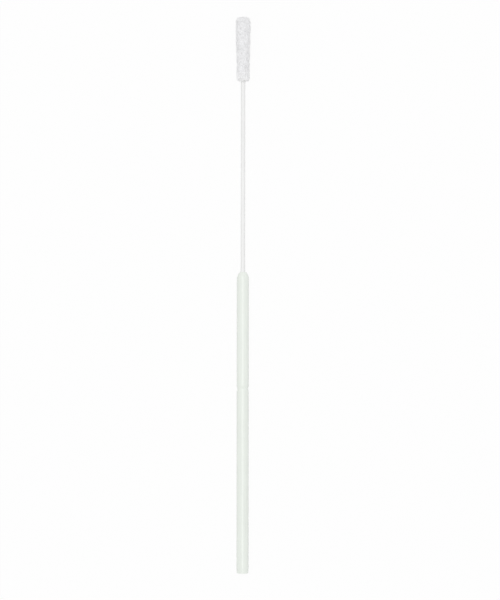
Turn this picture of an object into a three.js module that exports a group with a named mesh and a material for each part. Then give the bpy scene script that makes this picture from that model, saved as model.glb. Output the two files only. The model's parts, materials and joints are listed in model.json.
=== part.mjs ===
// A flocked specimen swab, in millimetres, +Z up.
//
// The stick is one injection moulding: a thick round handle, a groove where it is snapped, a
// blunt shoulder, a thin flexible shaft and a thickened head. The head carries a coat of short
// nylon fibres, standing out from it on a film of adhesive, which gathers into soft tufts.
//
// Both pieces are turned forms about the swab's own axis, local +Y, from the handle's end face
// at 0 to the crown of the tip. The swab lies as it would come to rest: on the end of its
// handle and on the fattest part of its tip.

import * as THREE from "three";

// Handle.
const handleDiameter = 3.24;
const gripLength = 49.7; // end face to the snap groove
const upperHandleLength = 29.7; // snap groove to the foot of the shoulder
const endTaperLength = 1.5; // the last stretch of the handle narrows a little
const endTaperDepth = 0.08;
const endEdgeRadius = 0.1;

// Snap groove, where the tip end is broken off.
const grooveWidth = 1.5;
const grooveDepth = 0.18;
const grooveRootRadius = 0.8;

// Shoulder.
const shoulderLength = 1.75;
const shoulderFilletRadius = 0.275; // in the corner between the shoulder and the shaft
const shoulderFullness = 0.5; // how far up the shoulder its curve turns in, 0 to 1

// Shaft.
const shaftDiameter = 1.15;
const shaftLength = 51.3; // bare shaft, shoulder to the lower end of the flock
const shaftRootLength = 8; // the stretch above the shoulder that is a little thicker
const shaftRootSwell = 0.025;

// Head, inside the flock.
const headClubDiameter = 2.55;
const headClubFromCrown = 3.6; // crown of the tip down to where the club is fattest
const headWaistDiameter = 2.08;
const headWaistFromFoot = 3.6; // lower end of the flock up to the waist
const headFootDiameter = 2.14;
const headFootConeLength = 0.7;
const headEndEdgeRadius = 0.45;

// Flock.
const flockLength = 17.55;
const pileHeight = 0.85; // length of the fibres that stand on the head
const glueFilm = 0.05; // clearance to the head that the adhesive fills
const skirtLength = 0.8; // pile that hangs down past the head
const skirtEdgeRadius = 0.85;

// Tufts that the fibres gather into.
const tuftPitch = 1.05;
const tuftScatter = 0.28; // furthest that a tuft strays from its even place
const tuftUnevenness = 0.07; // furthest that a tuft falls short of the full pile
const creaseDepth = 0.12; // sink of the surface halfway between two even tufts
const deepestCrease = 0.26;
const tuftPattern = 7; // which of the many chance layouts the tufts take

// Fineness of the faceted surfaces.
const facetsRound = 48;
const pileRowHeight = 0.27;
const headSideRows = 8;
const arcSteps = 4;

// Heights along the swab.
const handleLength = gripLength + upperHandleLength;
const shoulderTopHeight = handleLength + shoulderLength;
const flockFootHeight = shoulderTopHeight + shaftLength;
const crownHeight = flockFootHeight + flockLength;
const headEndHeight = crownHeight - pileHeight;
const headConeFootHeight = flockFootHeight + skirtLength;
const headConeTopHeight = headConeFootHeight + headFootConeLength;
const headWaistHeight = flockFootHeight + headWaistFromFoot;
const headClubHeight = crownHeight - headClubFromCrown;
const headEdgeHeight = headEndHeight - headEndEdgeRadius;

// Radii.
const handleRadius = handleDiameter / 2;
const shaftRadius = shaftDiameter / 2;
const shaftRootRadius = shaftRadius + shaftRootSwell;
const shoulderTopRadius = shaftRootRadius + shoulderFilletRadius;
const headClubRadius = headClubDiameter / 2;
const headWaistRadius = headWaistDiameter / 2;
const headFootRadius = headFootDiameter / 2;

const { degToRad, smoothstep, lerp, seededRandom } = THREE.MathUtils;

// An arc of an outline, in degrees from the outward direction towards the tip.
function arc(centreRadius, centreHeight, radius, fromDegrees, toDegrees, steps = arcSteps) {
  const points = [];
  for (let step = 0; step <= steps; step++) {
    const angle = degToRad(lerp(fromDegrees, toDegrees, step / steps));
    points.push(
      new THREE.Vector2(
        centreRadius + radius * Math.cos(angle),
        centreHeight + radius * Math.sin(angle),
      ),
    );
  }
  return points;
}

// Turns an outline about the swab's axis, with one flat facet facing down.
function turned(outline) {
  return new THREE.LatheGeometry(outline, facetsRound, Math.PI / facetsRound);
}

// A wide V-shaped groove with a round root, cut into a cylinder. The roundest root that fits is
// the one arc that passes through both edges of the groove.
function grooveOutline(surfaceRadius, height) {
  const halfWidth = grooveWidth / 2;
  const roundestRoot = (halfWidth ** 2 + grooveDepth ** 2) / (2 * grooveDepth);
  const rootRadius = Math.min(grooveRootRadius, 0.99 * roundestRoot);
  const rootCentre = surfaceRadius - grooveDepth + rootRadius;
  const edgeToCentre = Math.hypot(surfaceRadius - rootCentre, halfWidth);
  const edgeAngle = Math.atan2(halfWidth, surfaceRadius - rootCentre);
  const tangentAngle = edgeAngle + Math.acos(rootRadius / edgeToCentre);
  const tangentDegrees = THREE.MathUtils.radToDeg(tangentAngle);
  return [
    new THREE.Vector2(surfaceRadius, height - halfWidth),
    ...arc(rootCentre, height, rootRadius, 360 - tangentDegrees, tangentDegrees),
    new THREE.Vector2(surfaceRadius, height + halfWidth),
  ];
}

// The handle narrows to its flat end face with a small rounded edge.
function handleOutline() {
  const endRadius = handleRadius - endTaperDepth;
  return [
    new THREE.Vector2(0, 0),
    ...arc(endRadius - endEdgeRadius, endEdgeRadius, endEdgeRadius, -90, 0),
    new THREE.Vector2(handleRadius, endTaperLength),
    ...grooveOutline(handleRadius, gripLength),
  ];
}

// The shoulder leaves the handle smoothly and turns in to a small step at the shaft's fillet.
function shoulderOutline() {
  const curve = new THREE.QuadraticBezierCurve(
    new THREE.Vector2(handleRadius, handleLength),
    new THREE.Vector2(handleRadius, handleLength + shoulderLength * shoulderFullness),
    new THREE.Vector2(shoulderTopRadius, shoulderTopHeight),
  );
  const filletCentreHeight = shoulderTopHeight + shoulderFilletRadius;
  const fillet = arc(shoulderTopRadius, filletCentreHeight, shoulderFilletRadius, 270, 180);
  return [...curve.getPoints(2 * arcSteps), ...fillet.slice(1)];
}

// The head is a slim club: fattest near its end, with a waist low down and a slight foot.
function headRadiusAt(height) {
  const swell = smoothstep(height, headWaistHeight, headClubHeight);
  const flare = smoothstep(headWaistHeight - height, 0, headWaistFromFoot);
  return (
    headWaistRadius +
    (headClubRadius - headWaistRadius) * swell +
    (headFootRadius - headWaistRadius) * flare
  );
}

// The side of the head between two heights, moved out by a distance.
function headSide(offset, fromHeight, toHeight, rows) {
  const points = [];
  for (let row = 0; row <= rows; row++) {
    const height = lerp(fromHeight, toHeight, row / rows);
    points.push(new THREE.Vector2(headRadiusAt(height) + offset, height));
  }
  return points;
}

// The head's flat end and its rounded edge, moved out by a distance.
function headEnd(offset, steps = arcSteps) {
  const flatRadius = headClubRadius - headEndEdgeRadius;
  return arc(flatRadius, headEdgeHeight, headEndEdgeRadius + offset, 0, 90, steps);
}

// The whole head from its cone up, moved out by a distance: the moulding, and the pocket for it.
function headOutline(offset) {
  return [
    new THREE.Vector2(shaftRadius + offset, headConeFootHeight),
    ...headSide(offset, headConeTopHeight, headEdgeHeight, headSideRows),
    ...headEnd(offset).slice(1),
    new THREE.Vector2(0, headEndHeight + offset),
  ];
}

// The shaft thins gently above its root and then runs straight to the head.
function makeMouldedStick() {
  const rootEnd = new THREE.Vector2(shaftRadius, shoulderTopHeight + shaftRootLength);
  const outline = [...handleOutline(), ...shoulderOutline(), rootEnd, ...headOutline(0)];
  const plastic = new THREE.MeshStandardMaterial({
    color: 0xedf2ec,
    roughness: 0.4,
    metalness: 0,
  });
  const stick = new THREE.Mesh(turned(outline), plastic);
  stick.name = "moulded_stick";
  return stick;
}

// Surface of the pile, from the mouth round the shaft to the middle of the crown.
function pileOutline() {
  const mouthRadius = shaftRadius + glueFilm;
  const sideFoot = flockFootHeight + skirtEdgeRadius;
  const skirtRadius = headRadiusAt(sideFoot) + pileHeight;
  const underside = skirtRadius - skirtEdgeRadius;
  const undersideRows = Math.ceil((underside - mouthRadius) / pileRowHeight);
  const sideRows = Math.ceil((headEdgeHeight - sideFoot) / pileRowHeight);
  const crownEdge = headEnd(pileHeight, 2 * arcSteps);
  const crownRadius = headClubRadius - headEndEdgeRadius;
  const crownRows = Math.ceil(crownRadius / pileRowHeight);
  const points = [];
  for (let row = 0; row < undersideRows; row++) {
    const radius = lerp(mouthRadius, underside, row / undersideRows);
    points.push(new THREE.Vector2(radius, flockFootHeight));
  }
  points.push(...arc(underside, sideFoot, skirtEdgeRadius, -90, 0));
  points.push(...headSide(pileHeight, sideFoot, headEdgeHeight, sideRows).slice(1));
  points.push(...crownEdge.slice(1));
  for (let row = crownRows - 1; row >= 0; row--) {
    points.push(new THREE.Vector2(crownRadius * (row / crownRows), crownHeight));
  }
  return points;
}

// Where the tufts stand: an even spiral over the pile's whole surface, each a little astray.
function layTufts(outline) {
  const areaUpTo = [0];
  for (let i = 1; i < outline.length; i++) {
    const slant = outline[i].distanceTo(outline[i - 1]);
    areaUpTo.push(areaUpTo[i - 1] + Math.PI * (outline[i].x + outline[i - 1].x) * slant);
  }
  const wholeArea = areaUpTo[areaUpTo.length - 1];
  const tuftArea = tuftPitch * tuftPitch * Math.sin(degToRad(60));
  const tuftCount = Math.round(wholeArea / tuftArea);
  const goldenAngle = Math.PI * (3 - Math.sqrt(5));
  const stray = () => (2 * seededRandom() - 1) * tuftScatter;
  const tufts = [];
  seededRandom(tuftPattern);
  for (let tuft = 0; tuft < tuftCount; tuft++) {
    const area = ((tuft + 0.5) / tuftCount) * wholeArea;
    const band = areaUpTo.findIndex((upTo) => upTo >= area);
    const share = (area - areaUpTo[band - 1]) / (areaUpTo[band] - areaUpTo[band - 1]);
    const place = outline[band - 1].clone().lerp(outline[band], share);
    const angle = tuft * goldenAngle;
    tufts.push({
      crown: new THREE.Vector3(
        place.x * Math.sin(angle) + stray(),
        place.y + stray(),
        place.x * Math.cos(angle) + stray(),
      ),
      shortfall: tuftUnevenness * seededRandom(),
    });
  }
  return tufts;
}

// How far the pile sinks at a point: least at the crown of the nearest tuft.
function sinkAt(point, tufts) {
  const steepness = creaseDepth / (tuftPitch / 2) ** 2;
  let sink = deepestCrease;
  for (const tuft of tufts) {
    sink = Math.min(sink, tuft.shortfall + steepness * tuft.crown.distanceToSquared(point));
  }
  return sink;
}

// The coat of fibres: a pocket that fits over the head, inside a surface of soft tufts.
function makeFlockedTip() {
  const pocket = headOutline(glueFilm).reverse();
  const pile = pileOutline();
  const outline = [...pocket, ...pile];
  const mouthIndex = pocket.length;
  const crownIndex = outline.length - 1;
  const geometry = turned(outline);
  const tufts = layTufts(pile);
  const position = geometry.getAttribute("position");
  const normal = geometry.getAttribute("normal");
  const point = new THREE.Vector3();
  const inward = new THREE.Vector3();
  for (let i = 0; i < position.count; i++) {
    const outlineIndex = i % outline.length;
    if (outlineIndex < mouthIndex) continue;
    point.fromBufferAttribute(position, i);
    inward.fromBufferAttribute(normal, i).negate();
    if (outlineIndex === mouthIndex) inward.set(0, 1, 0);
    if (outlineIndex === crownIndex) inward.set(0, -1, 0);
    point.addScaledVector(inward, sinkAt(point, tufts));
    position.setXYZ(i, point.x, point.y, point.z);
  }
  geometry.computeVertexNormals();
  const nylon = new THREE.MeshStandardMaterial({
    color: 0xf1f1f3,
    roughness: 1,
    metalness: 0,
  });
  const flock = new THREE.Mesh(geometry, nylon);
  flock.name = "flocked_tip";
  return flock;
}

// The swab leans by the angle at which the handle's end and the fattest tip both touch down.
function restingTilt() {
  const tipRadius = headClubRadius + pileHeight;
  return Math.atan2(tipRadius - handleRadius, headClubHeight - endTaperLength);
}

function makeSwab() {
  const swab = new THREE.Group();
  swab.rotation.x = restingTilt();
  swab.add(makeMouldedStick(), makeFlockedTip());
  return swab;
}

// The origin is under the swab's axis, halfway along it, on the surface that it lies on.
function laidOnOrigin(object) {
  const box = new THREE.Box3().setFromObject(object, true);
  const middle = box.getCenter(new THREE.Vector3());
  object.position.sub(new THREE.Vector3(0, middle.y, box.min.z));
  return object;
}

const part = new THREE.Group();
part.name = "specimen_swab";
part.add(laidOnOrigin(makeSwab()));

export default part;
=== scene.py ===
# %% [markdown]
# # A flocked specimen swab
#
# A specimen swab is two things. The stick is one plastic moulding: a thick round handle, a
# groove where it is snapped, a blunt shoulder and a thin shaft. The tip is a coat of short
# nylon fibres, which an electric field has shot end-on into glue on the stick's head, so that
# they stand up like the pile of velvet.
#
# The solids of both are already made and packed. They fix every size and place, and this
# script only gives them their looks. It is read from top to bottom, one cell at a time.

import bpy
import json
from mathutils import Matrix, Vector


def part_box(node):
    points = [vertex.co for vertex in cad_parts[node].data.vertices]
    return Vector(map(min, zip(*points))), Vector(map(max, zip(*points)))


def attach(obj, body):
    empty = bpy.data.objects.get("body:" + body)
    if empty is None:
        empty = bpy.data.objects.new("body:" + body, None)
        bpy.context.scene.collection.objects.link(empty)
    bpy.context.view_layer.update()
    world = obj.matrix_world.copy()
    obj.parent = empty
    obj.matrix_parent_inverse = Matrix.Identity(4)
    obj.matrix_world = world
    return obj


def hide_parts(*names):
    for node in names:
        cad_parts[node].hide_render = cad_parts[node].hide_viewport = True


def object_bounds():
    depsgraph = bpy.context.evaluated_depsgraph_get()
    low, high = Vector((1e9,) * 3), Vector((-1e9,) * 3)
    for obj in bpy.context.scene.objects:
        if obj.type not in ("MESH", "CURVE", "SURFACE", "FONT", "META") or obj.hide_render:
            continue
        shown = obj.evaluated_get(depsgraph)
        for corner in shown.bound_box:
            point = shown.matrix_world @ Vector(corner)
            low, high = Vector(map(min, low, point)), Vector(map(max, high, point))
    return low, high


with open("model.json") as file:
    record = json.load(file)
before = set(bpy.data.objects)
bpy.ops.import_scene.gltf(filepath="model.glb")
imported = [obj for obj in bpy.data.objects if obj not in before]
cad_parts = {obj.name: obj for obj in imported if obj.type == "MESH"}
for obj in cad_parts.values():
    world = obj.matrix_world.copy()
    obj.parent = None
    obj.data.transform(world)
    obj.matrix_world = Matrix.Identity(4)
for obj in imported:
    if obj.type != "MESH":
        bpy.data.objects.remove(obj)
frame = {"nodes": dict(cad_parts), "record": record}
solid_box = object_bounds()
print("solids:", sorted(frame["nodes"]))
print("box of the solids, mm:", [[round(1000 * x, 2) for x in corner] for corner in solid_box])

# %% Modules and units
import json
import math

import bmesh
import bpy
from mathutils import Matrix, Vector
from mathutils.bvhtree import BVHTree

MM = 0.001  # Blender works in metres, and a swab is easier to think of in millimetres

# %% [markdown]
# ## The swab's own frame
#
# The swab lies on a table. It rests on the end of its handle and on the fattest part of its
# tip, so its axis is a fraction of a degree off level. Everything on it is turned about that
# axis, so it is far easier to build it upright in a frame of its own, with Y as the height
# from the handle's end face, and to lay it down at the end with one matrix.
#
# The record keeps a mount on the handle's end face: its point and the direction it faces.
# That is all that the matrix needs.

# %% Lay the axis through the handle's end face
end_face = next(m for m in frame["record"]["mounts"] if m["name"] == "handle_end")
along = -Vector(end_face["axis"]).normalized()
across = Vector((1, 0, 0))
upward = across.cross(along).normalized()
turn = Matrix((across, along, upward)).transposed().to_4x4()
lay_down = Matrix.Translation(end_face["pos_m"]) @ turn
stand_up = lay_down.inverted()
print("the axis is off level by", round(math.degrees(math.asin(along.z)), 3), "degrees")

# %% [markdown]
# ## The camera
#
# The swab is seen from straight above, with its tip at the top of the picture. A slim object
# looks truest through a long lens from far away, because the two ends are then drawn at the
# same scale as the middle. An orthographic camera would do that fully, but no real lens does.
# The picture takes in 161.65 mm of table from top to bottom.

# %% Hang the camera over the swab
PICTURE_HEIGHT = 161.65 * MM
LENS = 200.0  # mm, a long lens
AIM_ASIDE = Vector((1.91, -1.32, 0)) * MM  # the swab lies a little left of and above the middle
ROLL = math.radians(0.07)  # and it leans by a hair towards the right

camera_data = bpy.data.cameras.new("camera")
camera_data.lens = LENS
camera_data.clip_start = 0.01
camera_data.clip_end = 100
camera = bpy.data.objects.new("camera", camera_data)
bpy.context.scene.collection.objects.link(camera)
bpy.context.scene.camera = camera
middle = (solid_box[0] + solid_box[1]) / 2
# Blender lays the sensor's width along the longer side of the picture, here the upright one.
camera_height = PICTURE_HEIGHT * LENS / camera_data.sensor_width
camera.location = middle + AIM_ASIDE + Vector((0, 0, camera_height))
camera.rotation_euler = (0, 0, ROLL)
print("the camera is", round(camera_height, 3), "m above the swab")

# %% [markdown]
# ## Short ways to write node trees
#
# Materials and Geometry Nodes are both trees of nodes with links between their sockets. Made
# one call at a time, even a small tree takes a page. `node` adds a node, sets its own choices
# and fills its inputs, each with a value or with a link from another node's socket. `maths`
# and `vectors` are the same for the two nodes that are used most, and `ramp` carries a value
# from one range to another. A node can have more sockets than its choices put to use, so each
# helper asks for the ones in use.

# %% Helpers for every node tree
def feed(tree, socket, value):
    if isinstance(value, bpy.types.NodeSocket):
        tree.links.new(value, socket)
    else:
        socket.default_value = value


def in_use(sockets):
    return [socket for socket in sockets if socket.enabled]


def named(sockets, name):
    return next(socket for socket in in_use(sockets) if socket.name == name)


def node(tree, kind, inputs=None, **choices):
    made = tree.nodes.new(kind)
    for choice, value in choices.items():
        setattr(made, choice, value)
    for name, value in (inputs or {}).items():
        feed(tree, named(made.inputs, name), value)
    return made


def worked_out(tree, kind, operation, values):
    made = node(tree, kind, operation=operation)
    for socket, value in zip(in_use(made.inputs), values):
        feed(tree, socket, value)
    return in_use(made.outputs)[0]


def maths(tree, operation, *values):
    return worked_out(tree, "ShaderNodeMath", operation, values)


def vectors(tree, operation, *values):
    return worked_out(tree, "ShaderNodeVectorMath", operation, values)


def ramp(tree, value, low, high, to_low=0.0, to_high=1.0):
    ends = {"From Min": low, "From Max": high, "To Min": to_low, "To Max": to_high}
    return node(tree, "ShaderNodeMapRange", {"Value": value, **ends}).outputs[0]


# %% [markdown]
# ## The table and the light
#
# The background is plain white. A floor that is only painted white would need so much light
# that the swab on it would burn out. So the light stays at the level at which a colour is
# drawn about as it is written, and the floor's material asks what kind of ray has reached it.
# For a ray from the camera, or from a reflection, most of its brightness is its own glow.
# The rest is ordinary paint, so the swab's soft shadow still falls on it. Far from the swab
# the glow takes over wholly, and the table runs into the white room without a line.

# %% Ask whether a ray comes from the camera or from a reflection
def seen_directly(tree):
    path = tree.nodes.new("ShaderNodeLightPath").outputs
    seen = maths(tree, "MAXIMUM", path["Is Camera Ray"], path["Is Glossy Ray"])
    return maths(tree, "MAXIMUM", seen, path["Is Transmission Ray"])


# %% Lay the table
TABLE_HALF_WIDTH = 6.0
TABLE_PAINT = (0.88, 0.88, 0.88, 1)
TABLE_GLOW = 0.93  # share of the floor's brightness, for the camera, that is its own
NEAR, FAR = 0.15, 0.6  # metres from the swab between which that share grows to the whole
WHITE = (1, 1, 1, 1)

signs = ((-1, -1), (1, -1), (1, 1), (-1, 1))
corners = [(x * TABLE_HALF_WIDTH, y * TABLE_HALF_WIDTH, 0) for x, y in signs]
floor_mesh = bpy.data.meshes.new("floor")
floor_mesh.from_pydata(corners, [], [(0, 1, 2, 3)])
floor = bpy.data.objects.new("floor", floor_mesh)
bpy.context.scene.collection.objects.link(floor)

floor_paint = bpy.data.materials.new("floor_paint")
floor_paint.use_nodes = True
tree = floor_paint.node_tree
tree.nodes.clear()
here = tree.nodes.new("ShaderNodeTexCoord").outputs["Object"]
own_share = ramp(tree, vectors(tree, "LENGTH", here), NEAR, FAR, TABLE_GLOW, 1.0)
paint = node(tree, "ShaderNodeBsdfDiffuse", {"Color": TABLE_PAINT})
glow = node(tree, "ShaderNodeEmission", {"Color": WHITE, "Strength": 1.0})
both = tree.nodes.new("ShaderNodeMixShader")
tree.links.new(maths(tree, "MULTIPLY", seen_directly(tree), own_share), both.inputs[0])
tree.links.new(paint.outputs[0], both.inputs[1])
tree.links.new(glow.outputs[0], both.inputs[2])
node(tree, "ShaderNodeOutputMaterial", {"Surface": both.outputs[0]})
floor_mesh.materials.append(floor_paint)
print("table:", 2 * TABLE_HALF_WIDTH, "m wide")

# %% Light the room
SKY = 0.68  # brightness of the room's white walls as a light

world = bpy.data.worlds.new("room")
bpy.context.scene.world = world
world.use_nodes = True
tree = world.node_tree
tree.nodes.clear()
level = ramp(tree, seen_directly(tree), 0.0, 1.0, SKY, 1.0)
walls = node(tree, "ShaderNodeBackground", {"Color": WHITE, "Strength": level})
node(tree, "ShaderNodeOutputWorld", {"Surface": walls.outputs[0]})
bpy.context.scene.view_settings.view_transform = "Standard"
print("room:", SKY)

# %% Hang a soft lamp over the table
LAMP_POWER = 7.75
LAMP_WIDTH, LAMP_LENGTH = 0.55, 1.3  # a strip along the swab, for one fine long highlight
LAMP_PLACE = Vector((-0.08, 0.22, 1.5))

lamp_data = bpy.data.lights.new("soft_lamp", "AREA")
lamp_data.shape = "RECTANGLE"
lamp_data.size = LAMP_WIDTH
lamp_data.size_y = LAMP_LENGTH
lamp_data.energy = LAMP_POWER
lamp = bpy.data.objects.new("soft_lamp", lamp_data)
bpy.context.scene.collection.objects.link(lamp)
lamp.location = LAMP_PLACE
lamp.rotation_euler = (-LAMP_PLACE).to_track_quat("-Z", "Y").to_euler()
print("lamp:", LAMP_POWER, "W")

# %% [markdown]
# ## Growing a piece with Geometry Nodes
#
# Each piece below follows a rule. Its points could be worked out in Python and written into a
# mesh one by one. A node tree is quicker for thousands of them, and its sizes stay inputs that
# can be changed and tried.
#
# The modifier that runs the tree sits on a carrier mesh. Its inputs are set by each socket's
# identifier, because that is how a modifier stores them. The grown result is copied to a
# plain mesh, the carrier and its modifier are thrown away, and the mesh is laid down with
# the swab.

# %% Helpers for the growing trees
def new_growing_tree(title, sizes):
    tree = bpy.data.node_groups.new(title, "GeometryNodeTree")
    interface = tree.interface
    interface.new_socket("Geometry", in_out="INPUT", socket_type="NodeSocketGeometry")
    for size, kind in sizes.items():
        interface.new_socket(size, in_out="INPUT", socket_type="NodeSocket" + kind)
    interface.new_socket("Geometry", in_out="OUTPUT", socket_type="NodeSocketGeometry")
    return tree, tree.nodes.new("NodeGroupInput").outputs


def end_tree(tree, geometry, material):
    whole = node(tree, "GeometryNodeRealizeInstances", {"Geometry": geometry}).outputs[0]
    painted = node(tree, "GeometryNodeSetMaterial", {"Geometry": whole, "Material": material})
    tree.links.new(painted.outputs[0], tree.nodes.new("NodeGroupOutput").inputs[0])
    print(tree.name + ":", len(tree.nodes), "nodes")


def grow(name, carrier_mesh, tree, sizes):
    carrier = bpy.data.objects.new(name + "_carrier", carrier_mesh)
    bpy.context.scene.collection.objects.link(carrier)
    modifier = carrier.modifiers.new(tree.name, "NODES")
    modifier.node_group = tree
    for item in tree.interface.items_tree:
        if item.in_out == "INPUT" and item.name in sizes:
            modifier[item.identifier] = sizes[item.name]
    evaluated = carrier.evaluated_get(bpy.context.evaluated_depsgraph_get())
    mesh = bpy.data.meshes.new_from_object(evaluated)
    bpy.data.objects.remove(carrier)
    mesh.name = name
    mesh.transform(lay_down)
    piece = bpy.data.objects.new(name, mesh)
    bpy.context.scene.collection.objects.link(piece)
    triangles = sum(len(face.vertices) - 2 for face in mesh.polygons)
    print(name + ":", triangles, "triangles")
    return piece


# %% Helpers for the points of a growing mesh
def own_place(tree):
    return tree.nodes.new("GeometryNodeInputPosition").outputs[0]


def parts_of(tree, vector):
    return node(tree, "ShaderNodeSeparateXYZ", {"Vector": vector}).outputs


def put_together(tree, x, y, z=0.0):
    return node(tree, "ShaderNodeCombineXYZ", {"X": x, "Y": y, "Z": z}).outputs[0]


def moved(tree, geometry, **how):
    return node(tree, "GeometryNodeSetPosition", {"Geometry": geometry, **how}).outputs[0]


def point_count(tree, geometry, component):
    counted = {"Geometry": geometry}
    size = node(tree, "GeometryNodeAttributeDomainSize", counted, component=component)
    return size.outputs["Point Count"]


def shaded(tree, geometry, smooth):
    settings = {"Geometry": geometry, "Shade Smooth": smooth}
    return node(tree, "GeometryNodeSetShadeSmooth", settings).outputs[0]


# %% Helpers to keep a value on the points under a name, and to read it back
def keep(tree, geometry, name, value, kind="FLOAT", domain="POINT"):
    kept = node(
        tree,
        "GeometryNodeStoreNamedAttribute",
        {"Geometry": geometry, "Name": name, "Value": value},
        data_type=kind,
        domain=domain,
    )
    return kept.outputs[0]


def recall(tree, name, kind="FLOAT"):
    known = node(tree, "GeometryNodeInputNamedAttribute", {"Name": name}, data_type=kind)
    return known.outputs["Attribute"]


# %% [markdown]
# ## The stick's outline
#
# The stick is round from end to end: one outline, swept round the axis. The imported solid
# already has the exact outline in its rings of points, so it is read from there: how high
# each point stands and how far it is from the axis. Sorted by height, they are the outline.
#
# The solid has hard corners and few points on its curves. No moulding has a dead sharp edge,
# and it is the soft glint along an edge that makes plastic look real. A Bevel modifier could
# round the finished mesh. On the outline it is easier: each corner is swapped for a small
# curve of five points. Long straight stretches get a ring near each end, which keeps the
# shading of a corner from spreading along the whole handle. Close round the axis there is no
# ring: a hundred points on one too small to see only crumple the shading.
#
# Each ring also keeps its girth, which here means how far the plastic reaches from the axis.
# The finish reads it later, to tell thick plastic from thin.

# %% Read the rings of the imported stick, in millimetres
LEAST_STEP = 0.004  # rings closer together than this are one ring
HEAD_END = 0.01  # how far below the highest ring the head's end face begins


def rings_of(solid):
    rings = set()
    for vertex in solid.data.vertices:
        place = stand_up @ vertex.co
        rings.add((round(place.y / MM, 4), round(math.hypot(place.x, place.z) / MM, 4)))
    head_end = max(height for height, radius in rings) - HEAD_END
    # The end face runs outwards from the axis, and the head's end runs back in to it.
    return sorted(rings, key=lambda r: (r[0], -r[1] if r[0] > head_end else r[1]))


def merged(rings):
    kept = [Vector((rings[0][1], rings[0][0]))]
    for height, radius in rings[1:]:
        point = Vector((radius, height))
        if (point - kept[-1]).length > LEAST_STEP:
            kept.append(point)
    return kept


outline = merged(rings_of(frame["nodes"]["moulded_stick"]))
handle_radius = max(point.x for point in outline)
print(len(outline), "rings; handle", round(2 * handle_radius, 3), "mm thick")

# %% Round the corners of the outline
CORNER_CUT = 0.06  # mm taken off each side of a corner
MOST_OF_A_SIDE = 0.45  # a cut takes no more than this share of a short side
CORNER_STEPS = 4


def rounded(points):
    eased = [points[0]]
    for before, corner, after in zip(points, points[1:], points[2:]):
        back, forth = before - corner, after - corner
        cut = min(CORNER_CUT, MOST_OF_A_SIDE * back.length, MOST_OF_A_SIDE * forth.length)
        start = corner + back.normalized() * cut
        end = corner + forth.normalized() * cut
        for step in range(CORNER_STEPS + 1):
            t = step / CORNER_STEPS
            eased.append(start * (1 - t) ** 2 + corner * 2 * t * (1 - t) + end * t**2)
    return eased + [points[-1]]


# %% Add rings to the long straight stretches
NEAR_END = 0.08  # mm from each end of a stretch to its first ring
LONGEST_STRETCH = 2.5  # mm between two rings
ON_AXIS = 0.001  # mm; a point nearer to the axis than this closes an end
SMALLEST_RING = 0.3  # mm; any other point nearer to the axis than this is dropped


def held(points):
    kept = [points[0]]
    for start, end in zip(points, points[1:]):
        length = (end - start).length
        if length > 4 * NEAR_END:
            steps = max(1, math.ceil((length - 2 * NEAR_END) / LONGEST_STRETCH))
            for step in range(steps + 1):
                way = NEAR_END + (length - 2 * NEAR_END) * step / steps
                kept.append(start.lerp(end, way / length))
        kept.append(end)
    return [point for point in kept if point.x < ON_AXIS or point.x > SMALLEST_RING]


outline = held(rounded(outline))
print(len(outline), "rings after rounding")

# %% Keep the outline as a mesh, with its girth at each ring
END_FACE_TOP = 0.2  # mm; the rings below it have the whole handle behind them

outline_mesh = bpy.data.meshes.new("stick_outline")
outline_mesh.from_pydata([(point.x * MM, point.y * MM, 0) for point in outline], [], [])
girths = outline_mesh.attributes.new("girth", "FLOAT", "POINT")
for point, girth in zip(outline, girths.data):
    girth.value = (handle_radius if point.y < END_FACE_TOP else point.x) * MM
print("girth at the handle's end:", round(girths.data[0].value / MM, 2), "mm")

# %% [markdown]
# ## The tree that turns the stick
#
# The mould for such a stick has two halves, and a hair of plastic creeps between them. It
# leaves a fine raised line down both sides, equally high on handle and shaft. The Screw
# modifier could sweep the outline round, but its steps are all alike, and the line needs
# points close together along both sides.
#
# A lathe of one's own is easy to write as a rule. A flat grid has a column for each step round
# the axis and a row for each ring. Each of its points looks up its ring's radius and height in
# the outline, and its column gives the angle. The columns are crowded towards the two sides
# with the line. Merging the points that meet closes the seam and both ends.

# %% Write the lathe: a grid whose points know their ring and their angle
turned, given = new_growing_tree(
    "turned_moulding",
    {
        "Sides": "Int",
        "Crowding": "Float",
        "Parting Line Height": "Float",
        "Parting Line Half Width": "Float",
        "Material": "Material",
    },
)
ring_count = point_count(turned, given["Geometry"], "MESH")
columns = maths(turned, "ADD", given["Sides"], 1.0)
grid = node(
    turned,
    "GeometryNodeMeshGrid",
    {"Size X": 1.0, "Size Y": 1.0, "Vertices X": columns, "Vertices Y": ring_count},
)
place = parts_of(turned, own_place(turned))
up_the_grid = maths(turned, "ADD", place["Y"], 0.5)
round_the_axis = maths(turned, "ADD", place["X"], 0.5)
row = maths(turned, "MULTIPLY", up_the_grid, maths(turned, "SUBTRACT", ring_count, 1.0))
ring = maths(turned, "ROUND", row)
even_angle = maths(turned, "MULTIPLY", round_the_axis, math.tau)
twice_round = maths(turned, "SINE", maths(turned, "MULTIPLY", even_angle, 2.0))
pull = maths(turned, "MULTIPLY", twice_round, maths(turned, "MULTIPLY", given["Crowding"], 0.5))
angle = maths(turned, "SUBTRACT", even_angle, pull)


# %% Look up each point's ring in the outline
def at_ring(value, kind):
    looked_up = node(
        turned,
        "GeometryNodeSampleIndex",
        {"Geometry": given["Geometry"], "Index": ring, "Value": value},
        data_type=kind,
        domain="POINT",
    )
    return looked_up.outputs[0]


profile = parts_of(turned, at_ring(own_place(turned), "FLOAT_VECTOR"))
radius = profile["X"]
girth = at_ring(recall(turned, "girth"), "FLOAT")

# %% Raise the parting line and close the form
LINE_DIES_OUT = 0.1 * MM, 0.5 * MM  # radii between which the line fades towards the axis
SEAM_MERGE = 0.0001 * MM  # points closer together than this are one point

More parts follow.
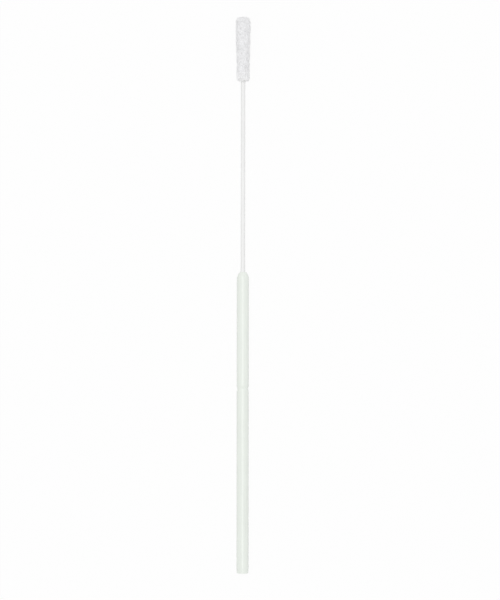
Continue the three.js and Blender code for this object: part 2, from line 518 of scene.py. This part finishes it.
sine, cosine = maths(turned, "SINE", angle), maths(turned, "COSINE", angle)
off_line = maths(turned, "ABSOLUTE", maths(turned, "MULTIPLY", radius, sine))
line_edge = given["Parting Line Half Width"]
line = ramp(turned, off_line, 0.0, line_edge, given["Parting Line Height"], 0.0)
line = maths(turned, "MULTIPLY", line, ramp(turned, radius, *LINE_DIES_OUT))
full_radius = maths(turned, "ADD", radius, line)
wrapped = put_together(
    turned,
    maths(turned, "MULTIPLY", full_radius, cosine),
    profile["Y"],
    maths(turned, "MULTIPLY", full_radius, sine),
)
form = moved(turned, keep(turned, grid.outputs[0], "girth", girth), Position=wrapped)
seam = {"Geometry": form, "Distance": SEAM_MERGE}
closed = node(turned, "GeometryNodeMergeByDistance", seam).outputs[0]
outward = node(turned, "GeometryNodeFlipFaces", {"Mesh": closed}).outputs[0]
end_tree(turned, shaded(turned, outward, True), given["Material"])

# %% [markdown]
# ## The stick's plastic
#
# The stick is a hard white plastic with a breath of green, satin and not quite opaque. One
# flat colour with a gloss would look like paint. Four things keep it from that. Where the
# stick is thin, less of its tint is left, so the colour follows the girth; there it is also
# painted lighter, painted light that stands in for the light going through thin plastic. The
# melt has run along the mould, which leaves long, barely visible streaks in the colour and
# the gloss. The plastic is a little cloudy. And the mould's own fine blasted texture breaks up
# the highlight.

# %% Helpers for the finishes
MOST_OF_NOISE = 0.35, 0.65  # a noise runs from 0 to 1, but most of it lies between these
ALL_OF_NOISE = 0.3, 0.7  # and nearly all of it between these


def new_finish(name):
    material = bpy.data.materials.new(name)
    material.use_nodes = True
    tree = material.node_tree
    here = tree.nodes.new("ShaderNodeTexCoord").outputs["Object"]
    return material, tree, tree.nodes["Principled BSDF"], here


def noise(tree, where, scale, detail=2.0):
    settings = {"Vector": where, "Scale": scale, "Detail": detail}
    return node(tree, "ShaderNodeTexNoise", settings).outputs[0]


def attribute(tree, name):
    return node(tree, "ShaderNodeAttribute", attribute_name=name).outputs["Fac"]


def blended(tree, share, first, second):
    colours = {"Factor": share, "A": first, "B": second}
    return named(node(tree, "ShaderNodeMix", colours, data_type="RGBA").outputs, "Result")


def weighed(tree, share, first, second):
    first_part = maths(tree, "MULTIPLY", first, share)
    return maths(tree, "ADD", first_part, maths(tree, "MULTIPLY", second, 1.0 - share))


# %% Choose the plastic's colours and gloss
HANDLE_COLOUR = (0.851, 0.893, 0.838, 1)
SHAFT_COLOUR = (0.852, 0.854, 0.848, 1)
THIN = 0.62 * MM  # girth up to which the plastic has the shaft's colour
TINTED = 0.9 * MM  # girth from which it has the handle's tint
THICK = 1.6 * MM  # girth from which it is no lighter than the handle
THIN_PAINTED_LIGHT = 0.035  # how much painted light lifts it where it is thin
STREAKS = (1800, 60, 1800)  # to the metre, so that they are long and fine
STREAK_DEPTH = 0.030  # how much darker the darkest streak is
CLOUDS = 160.0  # to the metre
CLOUD_DEPTH = 0.012  # how much a cloud lightens or darkens it
GRAIN = 7000.0  # to the metre
SMOOTHEST, ROUGHEST = 0.25, 0.31
STREAKS_IN_RELIEF = 0.6  # share of the relief that is streaks, and the rest is grain
print("streaks:", round(1000 / STREAKS[1]), "mm long")

# %% Mix the plastic
plastic, tree, skin, here = new_finish("satin_plastic")
stretched = node(tree, "ShaderNodeMapping", {"Vector": here, "Scale": STREAKS}).outputs[0]
streaks = noise(tree, stretched, 1.0, 3.0)
clouds = noise(tree, here, CLOUDS)
grain = noise(tree, here, GRAIN)
thickness = attribute(tree, "girth")
tint = blended(tree, ramp(tree, thickness, THIN, TINTED), SHAFT_COLOUR, HANDLE_COLOUR)
shade = maths(
    tree,
    "ADD",
    ramp(tree, streaks, *MOST_OF_NOISE, 1.0 - STREAK_DEPTH, 1.0),
    ramp(tree, clouds, *ALL_OF_NOISE, -CLOUD_DEPTH, CLOUD_DEPTH),
)
# Painted light: where the plastic is thin its colour is lifted, standing in for light shining
# through it.
shade = maths(tree, "ADD", shade, ramp(tree, thickness, TINTED, THICK, THIN_PAINTED_LIGHT, 0.0))
feed(tree, skin.inputs["Base Color"], vectors(tree, "SCALE", tint, shade))
gloss = ramp(tree, streaks, *ALL_OF_NOISE, SMOOTHEST, ROUGHEST)
feed(tree, skin.inputs["Roughness"], gloss)
relief = weighed(tree, STREAKS_IN_RELIEF, streaks, grain)
texture = {"Height": relief, "Strength": 0.35, "Distance": 0.004 * MM}
bump = node(tree, "ShaderNodeBump", texture)
feed(tree, skin.inputs["Normal"], bump.outputs[0])
skin.inputs["Subsurface Weight"].default_value = 0.05
skin.inputs["Subsurface Radius"].default_value = (1, 1, 1)
skin.inputs["Subsurface Scale"].default_value = 0.6 * MM
skin.inputs["Specular IOR Level"].default_value = 0.45
print(plastic.name + ":", len(tree.nodes), "nodes")

# %% Turn the stick
stick = grow(
    "swab_stick",
    outline_mesh,
    turned,
    {
        "Sides": 96,
        "Crowding": 0.6,
        "Parting Line Height": 0.012 * MM,
        "Parting Line Half Width": 0.05 * MM,
        "Material": plastic,
    },
)
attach(stick, "root")
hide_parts("moulded_stick")

# %% [markdown]
# ## The pile's skin
#
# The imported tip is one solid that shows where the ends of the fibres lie, with the soft tufts
# that they gather into. The fibres could stand on a plain rounded rod, but it is the tufts
# that give the tip its look. So they stand between that skin and a bed some way below it.
# Both start from one copy of the solid, stood upright and with its loose triangles merged.
#
# Only the outside carries fibres. The pocket in which the head sits is told apart by
# measuring how near each point is to the stick. The answer is kept on the points as an
# attribute, where the trees below can read it.

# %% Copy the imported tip, upright and merged
SAME_POINT = 0.0005 * MM  # points closer together than this are one point

skin_mesh = frame["nodes"]["flocked_tip"].data.copy()
skin_mesh.transform(stand_up)
skin_mesh.materials.clear()
work = bmesh.new()
work.from_mesh(skin_mesh)
bmesh.ops.remove_doubles(work, verts=work.verts, dist=SAME_POINT)
for face in work.faces:
    face.smooth = True
work.to_mesh(skin_mesh)
work.free()
print("skin of the pile:", len(skin_mesh.vertices), "points")

# %% Mark the outside of the pile
POCKET_CLEARANCE = 0.12 * MM  # anything this near the stick is the pocket's wall

work = bmesh.new()
work.from_mesh(stick.data)
work.transform(stand_up)
stick_surface = BVHTree.FromBMesh(work)
work.free()
outside = skin_mesh.attributes.new("outside", "FLOAT", "POINT")
for vertex, mark in zip(skin_mesh.vertices, outside.data):
    off_the_stick = stick_surface.find_nearest(vertex.co)[3]
    mark.value = 1.0 if off_the_stick > POCKET_CLEARANCE else 0.0
heights = [v.co.y for v, mark in zip(skin_mesh.vertices, outside.data) if mark.value > 0]
pile_foot, pile_crown = min(heights), max(heights)
print("pile from", round(pile_foot / MM, 2), "to", round(pile_crown / MM, 2), "mm")

# %% [markdown]
# ## The tree for the bed
#
# Between the fibres one sees down to where they are rooted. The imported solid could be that
# bed as it is, but then the fibres would stand out past the size that is packed. So the bed
# is its skin, made finer by one subdivision and sunk along its normals by nearly the length
# of a fibre. A little noise makes it as uneven as glue with fibre stumps in it.

# %% Write the bed's tree
LUMPS = 5200.0  # to the metre

bedding, given = new_growing_tree(
    "sunken_bed", {"Depth": "Float", "Unevenness": "Float", "Material": "Material"}
)
finer = node(bedding, "GeometryNodeSubdivisionSurface", {"Mesh": given["Geometry"], "Level": 1})
lumps = noise(bedding, own_place(bedding), LUMPS)
lump = maths(bedding, "MULTIPLY", maths(bedding, "SUBTRACT", lumps, 0.5), given["Unevenness"])
depth = maths(bedding, "SUBTRACT", lump, given["Depth"])
sink = maths(bedding, "MULTIPLY", depth, recall(bedding, "outside"))
normal = bedding.nodes.new("GeometryNodeInputNormal").outputs[0]
sunk = moved(bedding, finer.outputs[0], Offset=vectors(bedding, "SCALE", normal, sink))
end_tree(bedding, sunk, given["Material"])

# %% [markdown]
# ## The tree for the fibres
#
# Blender's hair is the usual way to a pile. It would have to be turned into a mesh in the
# end, so these fibres are meshes from the start. Each is a bristle with three sides and two
# segments, bent a little: at a thirtieth of a millimetre, more would be wasted. The tree
# scatters roots over the skin, no two closer than a set distance, and stands a bristle on
# each.
#
# Its lean is what makes the tufts. On the flank of a tuft the skin's normal points away from
# the tuft's middle. Blurred over its neighbours, the same normal points straight out. The
# difference of the two points back to the middle, and that is where the free ends of fibres
# that cling together go.
#
# Every bristle also gets a cell of its own in a square map, so that its colour can be baked
# without the bristles sharing a spot.

# %% Write the fibres' tree: which way is straight out, and which way the tuft's middle is
ROUNDS_OF_BLUR = 24  # enough for the blur to reach across a tuft

fibres, given = new_growing_tree(
    "standing_fibres",
    {
        "From Height": "Float",
        "To Height": "Float",
        "Least Distance": "Float",
        "Most Per Square Metre": "Float",
        "Length": "Float",
        "Thickness": "Float",
        "Bend": "Float",
        "Lean": "Float",
        "Disorder": "Float",
        "Seed": "Int",
        "Material": "Material",
    },
)
normal = fibres.nodes.new("GeometryNodeInputNormal").outputs[0]
calm = node(
    fibres,
    "GeometryNodeBlurAttribute",
    {"Value": normal, "Iterations": ROUNDS_OF_BLUR, "Weight": 1.0},
    data_type="FLOAT_VECTOR",
)
upright = vectors(fibres, "NORMALIZE", calm.outputs[0])
toward_tuft = vectors(fibres, "SUBTRACT", upright, normal)
lawn = keep(fibres, given["Geometry"], "upright", upright, "FLOAT_VECTOR")
lawn = keep(fibres, lawn, "toward_tuft", toward_tuft, "FLOAT_VECTOR")


# %% Write the fibres' tree: where they are rooted
def compared(operation, value, limit):
    test = node(fibres, "FunctionNodeCompare", {"A": value, "B": limit}, operation=operation)
    return test.outputs[0]


def also(first, second):
    return worked_out(fibres, "FunctionNodeBooleanMath", "AND", (first, second))


height = parts_of(fibres, own_place(fibres))["Y"]
above = compared("GREATER_EQUAL", height, given["From Height"])
below = compared("LESS_THAN", height, given["To Height"])
on_outside = compared("GREATER_THAN", recall(fibres, "outside"), 0.5)
roots = node(
    fibres,
    "GeometryNodeDistributePointsOnFaces",
    {
        "Mesh": lawn,
        "Selection": also(also(above, below), on_outside),
        "Seed": given["Seed"],
    },
    distribute_method="POISSON",
)
feed(fibres, roots.inputs["Distance Min"], given["Least Distance"])
feed(fibres, roots.inputs["Density Max"], given["Most Per Square Metre"])

# %% Write the fibres' tree: one bristle
TAPERS_FROM = 0.4  # share of the length at which the bristle starts to narrow
END_THICKNESS = 0.62  # of the full thickness, at the free end

rod = node(
    fibres,
    "GeometryNodeMeshCylinder",
    {
        "Vertices": 3,
        "Side Segments": 2,
        "Radius": maths(fibres, "MULTIPLY", given["Thickness"], 0.5),
        "Depth": given["Length"],
    },
    fill_type="NGON",
)
place = parts_of(fibres, own_place(fibres))
reach = maths(fibres, "ADD", maths(fibres, "DIVIDE", place["Z"], given["Length"]), 0.5)
taper = ramp(fibres, reach, TAPERS_FROM, 1.0, 1.0, END_THICKNESS)
bend = maths(fibres, "MULTIPLY", maths(fibres, "POWER", reach, 2.0), given["Bend"])
bristle_place = put_together(
    fibres,
    maths(fibres, "ADD", maths(fibres, "MULTIPLY", place["X"], taper), bend),
    maths(fibres, "MULTIPLY", place["Y"], taper),
    maths(fibres, "MULTIPLY", reach, given["Length"]),
)
rod_map = rod.outputs["UV Map"]
mapped = keep(fibres, rod.outputs["Mesh"], "own_map", rod_map, "FLOAT_VECTOR", "CORNER")
bristle = moved(fibres, mapped, Position=bristle_place)

# %% Write the fibres' tree: stand a bristle on each root
THICKNESSES = 0.8, 1.2  # least and greatest, as shares of the set thickness
LENGTHS = 0.86, 1.12  # the same for the length


def chance(low, high, salt, kind="FLOAT"):
    # Each draw adds a number of its own to the seed, so that no two of them go together.
    drawn = node(fibres, "FunctionNodeRandomValue", {"Min": low, "Max": high}, data_type=kind)
    feed(fibres, drawn.inputs["Seed"], maths(fibres, "ADD", given["Seed"], float(salt)))
    return in_use(drawn.outputs)[0]


straight_out = recall(fibres, "upright", "FLOAT_VECTOR")
to_middle = recall(fibres, "toward_tuft", "FLOAT_VECTOR")
anyhow = chance((-1, -1, -1), (1, 1, 1), 1, "FLOAT_VECTOR")
lean = vectors(fibres, "SCALE", to_middle, given["Lean"])
stray = vectors(fibres, "SCALE", anyhow, given["Disorder"])
direction = vectors(fibres, "ADD", vectors(fibres, "ADD", straight_out, lean), stray)
aligned = node(fibres, "FunctionNodeAlignRotationToVector", {"Vector": direction}, axis="Z")
any_way_round = {"Axis": (0, 0, 1), "Angle": chance(0.0, math.tau, 2)}
spin = node(fibres, "FunctionNodeAxisAngleToRotation", any_way_round)
spun = node(
    fibres,
    "FunctionNodeRotateRotation",
    {"Rotation": aligned.outputs[0], "Rotate By": spin.outputs[0]},
    rotation_space="LOCAL",
)
down = vectors(fibres, "SCALE", straight_out, maths(fibres, "MULTIPLY", given["Length"], -1.0))
rooted = moved(fibres, roots.outputs["Points"], Offset=down)
index = fibres.nodes.new("GeometryNodeInputIndex").outputs[0]
rooted = keep(fibres, rooted, "cell", index, "INT")
rooted = keep(fibres, rooted, "shade", chance(0.0, 1.0, 3))
thickness, length = chance(*THICKNESSES, 4), chance(*LENGTHS, 5)
standing = node(
    fibres,
    "GeometryNodeInstanceOnPoints",
    {
        "Points": rooted,
        "Instance": bristle,
        "Rotation": spun.outputs[0],
        "Scale": put_together(fibres, thickness, thickness, length),
    },
)
coat = node(fibres, "GeometryNodeRealizeInstances", {"Geometry": standing.outputs[0]})

# %% Write the fibres' tree: a cell of the map for each bristle
CELL_MARGIN = 0.1  # share of a cell left free along each of its sides

fibre_count = point_count(fibres, rooted, "POINTCLOUD")
cells_across = maths(fibres, "CEIL", maths(fibres, "SQRT", fibre_count))
cell = recall(fibres, "cell", "INT")
cell_corner = put_together(
    fibres,
    maths(fibres, "MODULO", cell, cells_across),
    maths(fibres, "FLOOR", maths(fibres, "DIVIDE", cell, cells_across)),
)
own_map = recall(fibres, "own_map", "FLOAT_VECTOR")
shrunk = vectors(fibres, "SCALE", own_map, 1.0 - 2 * CELL_MARGIN)
inside = vectors(fibres, "ADD", shrunk, (CELL_MARGIN, CELL_MARGIN, 0.0))
spot = vectors(fibres, "ADD", cell_corner, inside)
spread = vectors(fibres, "SCALE", spot, maths(fibres, "DIVIDE", 1.0, cells_across))
laid_out = keep(fibres, coat.outputs[0], "OFBake", spread, "FLOAT2", "CORNER")
end_tree(fibres, shaded(fibres, laid_out, False), given["Material"])

# %% [markdown]
# ## The nylon
#
# Nylon fibre is a clear thread, and a mass of it looks white, as snow does, with a little
# sheen. Each fibre could be made clear, but light would take long to find its way through
# thousands of them. So they are opaque and nearly white, as the mass of them looks.
#
# The bed and the fibres share one pattern of faint clouds a millimetre across, where the coat
# is a little thicker or thinner, and each fibre has a shade of its own. At the foot, over the
# end of the head, the coat is painted paler: painted light that lifts the shade where it turns
# under, away from the lamp.

# %% Choose the nylon's colours
FIBRE_LIGHT, FIBRE_DARK = (0.995, 0.995, 0.998, 1), (0.975, 0.975, 0.980, 1)
BED_LIGHT, BED_DARK = (0.930, 0.930, 0.940, 1), (0.850, 0.850, 0.860, 1)
PATCHES = 1000.0  # clouds to the metre
PATCHES_IN_SHADE = 0.6  # share of a fibre's shade that is the clouds', and the rest is its own
# Painted light: the near-white the coat is drawn with at its foot, to lift the shade there.
FOOT_PAINTED_LIGHT_COLOUR = (0.998, 0.998, 1.0, 1)
FOOT_PAINTED_LIGHT_ZONE = 2.8 * MM  # how far up from its foot the painted light reaches
FOOT_PAINTED_LIGHT_SHARE = 0.9  # how much of the colour is the painted light's at the very foot
coat_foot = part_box("flocked_tip")[0][1]
print("foot of the coat at y =", round(coat_foot / MM, 2), "mm")


# %% Write the recipe for nylon, and mix that of the fibres
def nylon(name, light, dark, with_shade):
    material, tree, skin, here = new_finish(name)
    mottle = ramp(tree, noise(tree, here, PATCHES), *MOST_OF_NOISE)
    if with_shade:
        mottle = weighed(tree, PATCHES_IN_SHADE, mottle, attribute(tree, "shade"))
    colour = blended(tree, mottle, dark, light)
    up_the_swab = parts_of(tree, here)["Y"]
    # Painted light: near the foot the colour is blended towards near-white, lifting the shade
    # that falls there.
    foot_painted_light = ramp(tree, up_the_swab, coat_foot, coat_foot + FOOT_PAINTED_LIGHT_ZONE, FOOT_PAINTED_LIGHT_SHARE, 0.0)
    feed(tree, skin.inputs["Base Color"], blended(tree, foot_painted_light, colour, FOOT_PAINTED_LIGHT_COLOUR))
    skin.inputs["Roughness"].default_value = 0.6
    skin.inputs["Sheen Weight"].default_value = 0.25
    skin.inputs["Sheen Roughness"].default_value = 0.4
    skin.inputs["Specular IOR Level"].default_value = 0.35
    return material, tree, skin, here


fibre_nylon = nylon("nylon_fibre", FIBRE_LIGHT, FIBRE_DARK, True)[0]
print(fibre_nylon.name + ":", len(fibre_nylon.node_tree.nodes), "nodes")

# %% Mix the rougher nylon of the bed
FUZZ = 14000.0  # fibre stumps to the metre

bed_nylon, tree, skin, here = nylon("nylon_bed", BED_LIGHT, BED_DARK, False)
skin.inputs["Roughness"].default_value = 1.0
skin.inputs["Sheen Weight"].default_value = 1.0
skin.inputs["Sheen Roughness"].default_value = 0.5
stumps = noise(tree, here, FUZZ)
bump = node(tree, "ShaderNodeBump", {"Height": stumps, "Strength": 0.8, "Distance": 0.03 * MM})
feed(tree, skin.inputs["Normal"], bump.outputs[0])
print(bed_nylon.name + ":", len(tree.nodes), "nodes")

# %% Grow the bed
FIBRE_LENGTH = 0.16 * MM
BED_DEPTH = 0.9 * FIBRE_LENGTH  # less than a fibre's length, so that the fibres stand in it

bed = grow(
    "flock_bed",
    skin_mesh,
    bedding,
    {"Depth": BED_DEPTH, "Unevenness": 0.06 * MM, "Material": bed_nylon},
)
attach(bed, "root")
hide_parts("flocked_tip")

# %% Choose the fibres' sizes
FIBRE_SIZES = {
    "Least Distance": 0.054 * MM,
    "Most Per Square Metre": 5.0e8,
    "Length": FIBRE_LENGTH,
    "Thickness": 0.03 * MM,
    "Bend": 0.035 * MM,
    "Lean": 1.0,
    "Disorder": 0.25,
    "Material": fibre_nylon,
}
print("a fibre is", round(FIBRE_LENGTH / MM, 3), "mm long")

# %% Grow the fibres, in four bands up the tip
BANDS = 4
FIRST_SEED = 11
band_height = (pile_crown - pile_foot) / BANDS


def press_on_table(mesh):
    # The lowest fibres are pressed flat where the tip lies on them.
    for vertex in mesh.vertices:
        vertex.co.z = max(vertex.co.z, 0.0)


for band in range(BANDS):
    low = pile_foot + band * band_height
    high = pile_foot + (band + 1) * band_height
    sizes = dict(FIBRE_SIZES, Seed=FIRST_SEED + band)
    sizes["From Height"] = low if band > 0 else low - MM
    sizes["To Height"] = high if band < BANDS - 1 else high + MM
    piece = grow(f"flock_fibres_{band + 1}", skin_mesh, fibres, sizes)
    press_on_table(piece.data)
    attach(piece, "root")
